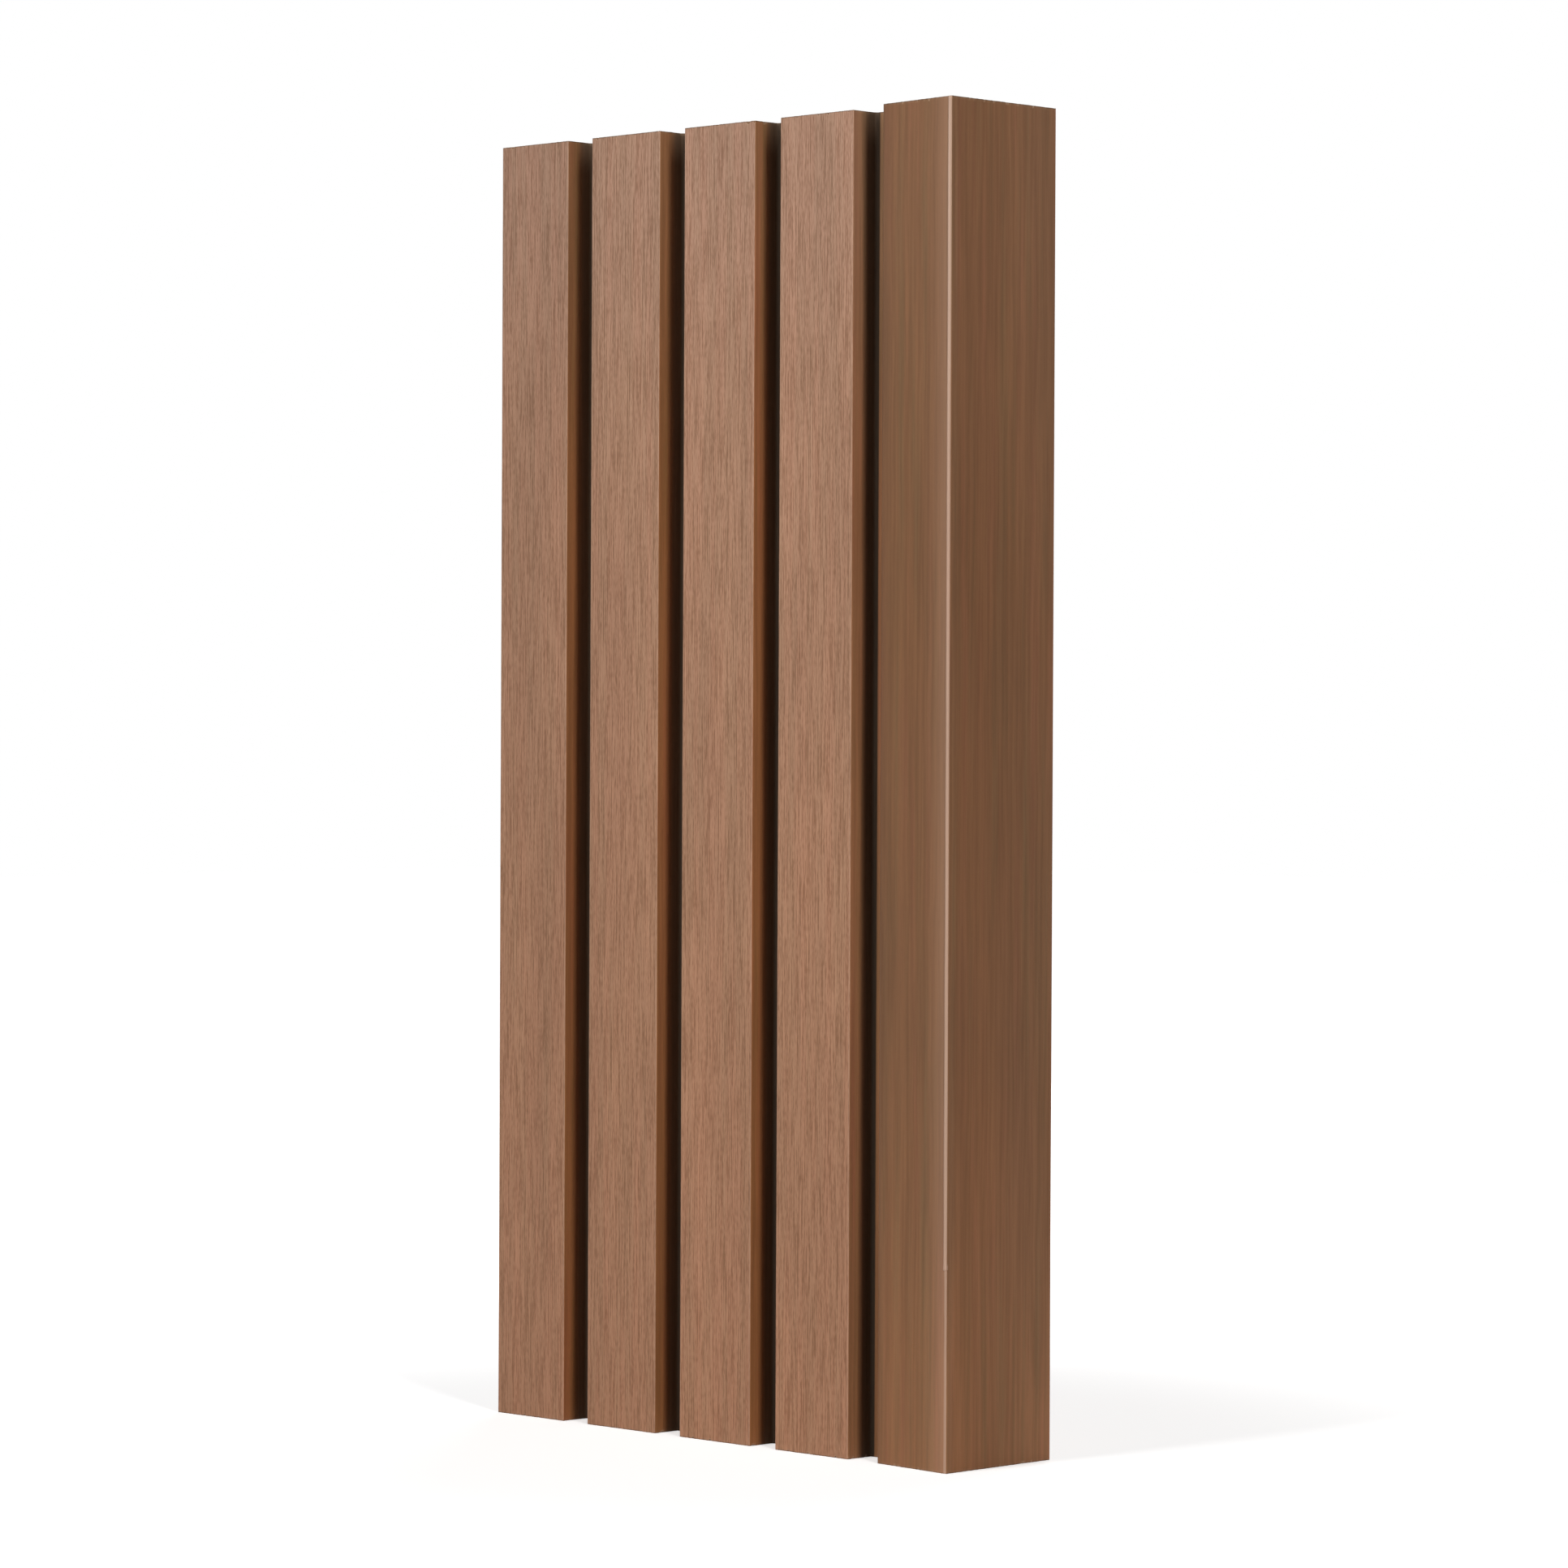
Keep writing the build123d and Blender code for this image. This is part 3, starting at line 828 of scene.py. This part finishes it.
class SLATS_OT_panel(bpy.types.Operator):
    """Build the brushed slat panel with its hollow chambers, tongue, back flutes and sawn ends"""
    bl_idname = "slats.panel"
    bl_label = "Slat panel"

    # Columns across a slat face, fine enough for the brushed lines, and across a slat's side
    face_steps = 132
    side_steps = 14
    # How far from a slat the painted groove shade ends on the groove floor, in root radii
    root_reach = 1.8
    # Distance between rows
    row_spacing = 0.0053

    def corners(self, size):
        """Outline of the section as corners, with the number of steps for each arc and run."""
        left, tip = panel_low[0], panel_high[0]
        front, back = panel_low[1], panel_high[1]
        floor = front + size.groove_depth
        arris, root, edge = size.arris_radius, size.root_radius, size.edge_radius
        corners = []
        for i in range(size.slat_count):
            x0 = left + i * size.slat_pitch
            x1, x2 = x0 + size.slat_width, x0 + size.slat_pitch
            corners += [(x0, front, arris, 6, self.face_steps, BRUSHED),
                        (x1, front, arris, 6, self.side_steps, SKIN),
                        (x1, floor, root, 4, 2, SKIN),
                        (x1 + self.root_reach * root, floor, 0, 0, 5, SKIN),
                        (x2, floor, root, 4, 5, SKIN)]
        shoulder = left + size.slat_count * size.slat_pitch - size.clearance
        step = back - size.lap_depth + size.clearance
        corners[-1] = (shoulder, floor, edge, 3, 3, SKIN)
        corners += [(shoulder, step, 0, 0, 5, SKIN), (tip, step, edge, 3, 3, SKIN),
                    (tip, back, edge, 3, 2, REAR)]
        for i in reversed(range(size.slat_count)):
            centre = left + size.slat_width / 2 + i * size.slat_pitch
            for k in reversed(range(size.flutes_per_slat)):
                x = centre + (k - (size.flutes_per_slat - 1) / 2) * size.flute_spacing
                high, low = x + size.flute_width / 2, x - size.flute_width / 2
                deep = back - size.flute_depth
                corners += [(high, back, 0, 0, 1, REAR), (high, deep, 0, 0, 1, REAR),
                            (low, deep, 0, 0, 1, REAR), (low, back, 0, 0, 1, REAR)]
        corners += [(left + size.lap_width, back, edge, 3, 1, REAR),
                    (left + size.lap_width, back - size.lap_depth, 0, 0, 1, REAR),
                    (left, back - size.lap_depth, 0, 0, 5, SKIN)]
        return corners

    # Mask for the painted shade deep in the grooves
    def groove_shade_mask(self, size, outline):
        """How deep each point lies on a groove's walls: 0 near the face, 1 near the floor, 2 on the root.

        The flat of the floor and the outer sides of the panel get 0.
        """
        touching = 0.00001
        groove_width = size.slat_pitch - size.slat_width
        depth = (outline[:, 1] - panel_low[1]) / size.groove_depth
        from_slat = (outline[:, 0] - panel_low[0] - size.slat_width) % size.slat_pitch
        on_wall = (from_slat < 1.5 * size.root_radius) | (from_slat > groove_width - touching)
        in_front_of_floor = depth < 1 + touching / size.groove_depth
        past_first_half = outline[:, 0] > panel_low[0] + size.slat_width / 2
        in_groove = on_wall & in_front_of_floor & past_first_half
        return (smooth_step(0.35, 0.75, depth) + smooth_step(0.93, 1.0, depth)) * in_groove

    def hollows(self, size):
        """Outlines of the chambers, one in each slat."""
        low = panel_low[1] + size.chamber_setback
        holes = []
        for i in range(size.slat_count):
            left = panel_low[0] + i * size.slat_pitch + (size.slat_width - size.chamber_width) / 2
            holes.append(rounded_hole(left, low, left + size.chamber_width, low + size.chamber_depth,
                                      size.chamber_radius, 12))
        return holes

    def execute(self, context):
        size, finish = context.scene.slat_panel_sizes, context.scene.slat_finish
        form = Extrusion(self.corners(size), panel_low[2], panel_high[2], self.row_spacing)
        front, y = panel_low[1], form.outline[:, 1]
        on_face = (form.kinds == BRUSHED) | (np.roll(form.kinds, 1) == BRUSHED)
        brush = brushed_relief(form.s, form.z, finish) * on_face
        relief = finish.brush_depth * brush + finish.die_depth * die_relief(form.s, form.z) * ~on_face
        relief[:, y > front + size.groove_depth + size.root_radius] *= 0.4
        chips = (finish.chip_depth * 0.6 * chip_relief(form.along, seed=71),
                 finish.chip_depth * chip_relief(form.along, seed=81))
        grid = form.press(relief, *chips, finish.saw_ease)
        arris = form.outline[form.convex & (y < front + size.arris_radius / 2)]
        nearness = edge_nearness(form.outline, arris, size.arris_radius) * on_face
        # deep: mask of the painted shade in the grooves
        masks = {"relief": with_caps(brush), "edge": form.on_all_rows(nearness),
                 "deep": form.on_all_rows(self.groove_shade_mask(size, form.outline)), **form.end_masks(*chips)}
        piece = form.build("brushed_slat_panel", grid, self.hollows(size), masks,
                           [FACE_FINISH, SKIN_FINISH, SKIN_FINISH, END_FINISH, SKIN_FINISH])
        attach(piece, "root")
        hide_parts("slat_panel")
        return {"FINISHED"}


def leg_front(size, x):
    """Depth of the trim's front at x: it slopes back evenly from the corner to the lip."""
    corner, lip = trim_low[1] + size.bead_height, panel_low[1] + size.lip_recess
    return corner + (lip - corner) * (trim_high[0] - x) / (trim_high[0] - trim_low[0])


class SLATS_OT_batten(bpy.types.Operator):
    """Build the hollow batten between the tongue and the corner trim"""
    bl_idname = "slats.batten"
    bl_label = "Corner batten"

    def execute(self, context):
        size, panel = context.scene.slat_corner_sizes, context.scene.slat_panel_sizes
        finish = context.scene.slat_finish
        left, right, back = batten_low[0], batten_high[0], batten_high[1]
        step_x = panel_high[0] + panel.clearance
        step_y = back - panel.lap_depth + panel.clearance - size.glue_line
        behind = size.wall + size.glue_line
        near, far = leg_front(size, left) + behind, leg_front(size, right) + behind
        r, wall, row_spacing = size.batten_radius, size.batten_wall, 0.0106
        corners = [(left, near, r, 4, 24, SKIN), (right, far, r, 4, 8, SKIN), (right, back, r, 4, 14, REAR),
                   (step_x, back, r, 4, 2, REAR), (step_x, step_y, r, 4, 3, REAR),
                   (left, step_y, r, 4, 8, SKIN)]
        form = Extrusion(corners, batten_low[2], batten_high[2], row_spacing)
        hole = rounded_hole(step_x + wall, near + wall, right - wall, back - wall, panel.chamber_radius, 12)
        chips = [0.5 * finish.chip_depth * chip_relief(form.along, seed) for seed in (121, 131)]
        grid = form.press(finish.die_depth * die_relief(form.s, form.z), *chips, finish.saw_ease)
        piece = form.build("hollow_corner_batten", grid, [hole], {},
                           [SKIN_FINISH, SKIN_FINISH, SKIN_FINISH, END_FINISH, SKIN_FINISH])
        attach(piece, "root")
        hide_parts("corner_batten")
        return {"FINISHED"}


class SLATS_OT_trim(bpy.types.Operator):
    """Build the corner trim with the raised bead on its arris"""
    bl_idname = "slats.trim"
    bl_label = "Corner trim"

    def corners(self, size):
        """Outline of the L section as corners. The front run is split so that the bead gets fine columns."""
        left, right = trim_low[0], trim_high[0]
        front, rear = leg_front(size, right), trim_high[1]
        inner = right - size.wall
        bead_start = right - size.bead_setback - 2.4 * size.bead_radius
        return [(left, leg_front(size, left), size.lip_radius, 8, 74, SKIN),
                (bead_start, leg_front(size, bead_start), 0, 0, 12, SKIN),
                (right, front, size.arris_radius, 12, 90, SKIN), (right, rear, size.end_radius, 4, 4, SKIN),
                (inner, rear, size.end_radius, 4, 20, REAR),
                (inner, leg_front(size, inner) + size.wall, size.inner_radius, 4, 14, REAR),
                (left, leg_front(size, left) + size.wall, 0, 0, 3, SKIN)]

    def bead(self, size, x, y, z):
        """New depth of the front with the bead on it, and how much of the bead shows, from 0 to 1.

        The bead is a cylinder laid into the front: centre line less the root of r^2 - dx^2, and at its foot
        less the root of r^2 - dx^2 - dz^2, so that it ends round. Its height and place waver slowly, and it
        swells to a small blob just above its foot.
        """
        front, foot = leg_front(size, trim_high[0]), trim_high[2] - size.bead_length
        waver = drawn_noise(z, np.zeros_like(z), 0.019, 1.0, seed=91)
        sway = (drawn_noise(z, np.zeros_like(z), 0.031, 1.0, seed=92) - 0.5) * 0.00016
        blob_height, blob_reach = 0.0004, 0.0016
        swelling = np.exp(-((z - foot - blob_height) / blob_reach) ** 2)
        r = size.bead_radius * (1 + 0.25 * swelling)
        stand = size.bead_height * np.clip(0.72 + 0.22 * waver + 0.30 * swelling, 0, 1)
        centre_x = trim_high[0] - size.bead_setback - size.bead_radius - 0.0001 + sway
        below = np.maximum(0, foot - z)
        inside = np.maximum(0, r ** 2 - (x - centre_x) ** 2 - below ** 2)
        surface = front - stand + r - np.sqrt(inside)
        raised = np.where(inside > 0, np.minimum(y, surface), y)
        return raised, smooth_step(0.00002, 0.00022, y - raised)

    def execute(self, context):
        size, finish = context.scene.slat_corner_sizes, context.scene.slat_finish
        foot, row_spacing = trim_high[2] - size.bead_length, 0.0052
        close = foot + np.concatenate([np.linspace(-0.0016, 0.0006, 14), np.linspace(0.001, 0.006, 9)])
        form = Extrusion(self.corners(size), trim_low[2], trim_high[2], row_spacing, close)
        chips = [0.5 * finish.chip_depth * chip_relief(form.along, seed) for seed in (101, 111)]
        grid = form.press(1.4 * finish.die_depth * die_relief(form.s, form.z), *chips, finish.saw_ease)
        right, x, y = trim_high[0], form.outline[:, 0], form.outline[:, 1]
        near_bead = x > right - 4 * size.bead_radius
        at_corner = near_bead & (y < leg_front(size, right) + size.arris_radius * 0.98)
        before = grid[1:-1, :, 1].copy()
        raised, shown = self.bead(size, grid[1:-1, :, 0], before, grid[1:-1, :, 2])
        grid[1:-1, :, 1] = np.where(at_corner, raised, before)
        grid[-1, :, 1] += grid[-2, :, 1] - before[-1]
        # Masks for the arris, partly wear and partly a painted highlight, and for the bead
        on_front = (y < leg_front(size, x) + size.arris_radius * 0.4) & (x > trim_low[0] + size.lip_radius)
        arris = form.outline[form.convex & at_corner]
        nearness = edge_nearness(form.outline, arris, size.arris_radius) * on_front
        # Painted highlight on the front near the corner, carried by the corner mask
        highlight_reach = 0.008
        corner_highlight_mask = np.exp(-((right - x) / highlight_reach) ** 2) * on_front
        masks = {"bead": with_caps(shown * at_corner), "edge": form.on_all_rows(nearness),
                 "corner": form.on_all_rows(corner_highlight_mask), **form.end_masks(*chips)}
        piece = form.build("streaked_corner_trim", grid, [], masks,
                           [TRIM_FINISH, TRIM_FINISH, TRIM_FINISH, END_FINISH, TRIM_FINISH])
        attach(piece, "root")
        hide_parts("corner_trim")
        return {"FINISHED"}


class SLATS_OT_studio(bpy.types.Operator):
    """Set up the floor, the lamps, the white surroundings and the camera"""
    bl_idname = "slats.studio"
    bl_label = "Studio"

    def lamp(self, name, level, plan, rise, distance, width, height):
        """Area lamp that gives `level` on a surface facing it: its power is level * pi^2 * distance^2.

        `plan` turns from -Y towards +X, and `rise` is the angle above level.
        """
        target = Vector(((panel_low[0] + panel_high[0]) / 2, 0, (panel_low[2] + panel_high[2]) / 2))
        level_share = math.cos(rise)
        direction = Vector((math.sin(plan) * level_share, -math.cos(plan) * level_share, math.sin(rise)))
        data = bpy.data.lights.new(name, "AREA")
        data.shape = "RECTANGLE"
        data.size, data.size_y = width, height
        data.energy = level * math.pi ** 2 * distance ** 2
        lamp = bpy.data.objects.new(name, data)
        lamp.location = target + direction * distance
        lamp.rotation_euler = direction.to_track_quat("Z", "Y").to_euler()
        bpy.context.scene.collection.objects.link(lamp)

    def seen(self, w):
        """1 for camera, glossy and transmission rays, and 0 for the rays that light other things."""
        path = w.node("ShaderNodeLightPath").outputs
        mirrored = w.math("MAXIMUM", path["Is Glossy Ray"], path["Is Transmission Ray"])
        return w.math("MAXIMUM", path["Is Camera Ray"], mirrored)

    def floor(self, studio):
        """Pale floor.

        For the camera it also shines by itself, more with distance, and so melts into the white.
        """
        half = studio.floor_size / 2
        corners = [(-half, -half, 0), (half, -half, 0), (half, half, 0), (-half, half, 0)]
        mesh = bpy.data.meshes.new("floor")
        mesh.from_pydata(corners, [], [(0, 1, 2, 3)])
        floor = bpy.data.objects.new("floor", mesh)
        bpy.context.scene.collection.objects.link(floor)
        material = bpy.data.materials.new("Pale floor")
        w = cleared(material)
        away = w.distance(w.place())
        shine = w.remap(away, studio.glow_near, studio.glow_far, studio.floor_glow, 1.0)
        glow = w.math("MULTIPLY", self.seen(w), shine)
        pale = w.node("ShaderNodeBsdfDiffuse", {"Color": (*[studio.floor_tone] * 3, 1)}).outputs[0]
        white = w.node("ShaderNodeEmission", {"Color": (1, 1, 1, 1), "Strength": glow}).outputs[0]
        both = w.node("ShaderNodeAddShader", {0: pale, 1: white}).outputs[0]
        w.node("ShaderNodeOutputMaterial", {"Surface": both})
        mesh.materials.append(material)

    def surroundings(self, studio):
        """White for camera, glossy and transmission rays, and the room light for the rest."""
        world = bpy.data.worlds.new("White surroundings")
        w = cleared(world)
        strength = w.math("MULTIPLY_ADD", self.seen(w), 1.0 - studio.world_light, studio.world_light)
        background = w.node("ShaderNodeBackground", {"Color": (1, 1, 1, 1), "Strength": strength})
        w.node("ShaderNodeOutputWorld", {"Surface": background.outputs[0]})
        bpy.context.scene.world = world

    def camera(self, studio):
        data = bpy.data.cameras.new("camera")
        data.sensor_width = 36.0
        data.lens = studio.camera_lens
        camera = bpy.data.objects.new("camera", data)
        turn = (Matrix.Rotation(studio.camera_turn, 4, "Z")
                @ Matrix.Rotation(math.pi / 2 - studio.camera_dip, 4, "X")
                @ Matrix.Rotation(studio.camera_roll, 4, "Z"))
        camera.location = studio.camera_place
        camera.rotation_euler = turn.to_euler()
        bpy.context.scene.collection.objects.link(camera)
        bpy.context.scene.camera = camera

    def execute(self, context):
        studio = context.scene.slat_studio
        self.floor(studio)
        self.surroundings(studio)
        for name in ("key", "side", "back"):
            fields = ("light", "plan", "rise", "away", "width", "height")
            self.lamp(name, *[getattr(studio, name + "_" + field) for field in fields])
        self.camera(studio)
        context.scene.view_settings.view_transform = "Standard"
        return {"FINISHED"}


class SLATS_PT_sidebar(bpy.types.Panel):
    """Lists the slat panel's pieces and their sizes"""
    bl_idname = "SLATS_PT_sidebar"
    bl_label = "Slat panel"
    bl_space_type = "VIEW_3D"
    bl_region_type = "UI"
    bl_category = "Slat panel"

    def draw(self, context):
        for operator in OPERATORS:
            self.layout.operator(operator.bl_idname)
        for name in GROUPS:
            box = self.layout.box()
            group = getattr(context.scene, name)
            for field in group.__annotations__:
                box.prop(group, field)


GROUPS = {"slat_panel_sizes": SlatPanelSizes, "slat_corner_sizes": CornerSizes, "slat_finish": FinishSizes,
          "slat_colours": FinishColours, "slat_studio": StudioSizes}
OPERATORS = (SLATS_OT_finishes, SLATS_OT_panel, SLATS_OT_batten, SLATS_OT_trim, SLATS_OT_studio)
CLASSES = (*GROUPS.values(), *OPERATORS, SLATS_PT_sidebar)


def register():
    for item in CLASSES:
        bpy.utils.register_class(item)
    for name, group in GROUPS.items():
        setattr(bpy.types.Scene, name, PointerProperty(type=group))


def unregister():
    for name in GROUPS:
        delattr(bpy.types.Scene, name)
    for item in reversed(CLASSES):
        bpy.utils.unregister_class(item)


def main():
    register()
    bpy.ops.slats.finishes()
    bpy.ops.slats.panel()
    bpy.ops.slats.batten()
    bpy.ops.slats.trim()
    bpy.ops.slats.studio()


if __name__ == "__main__":
    main()
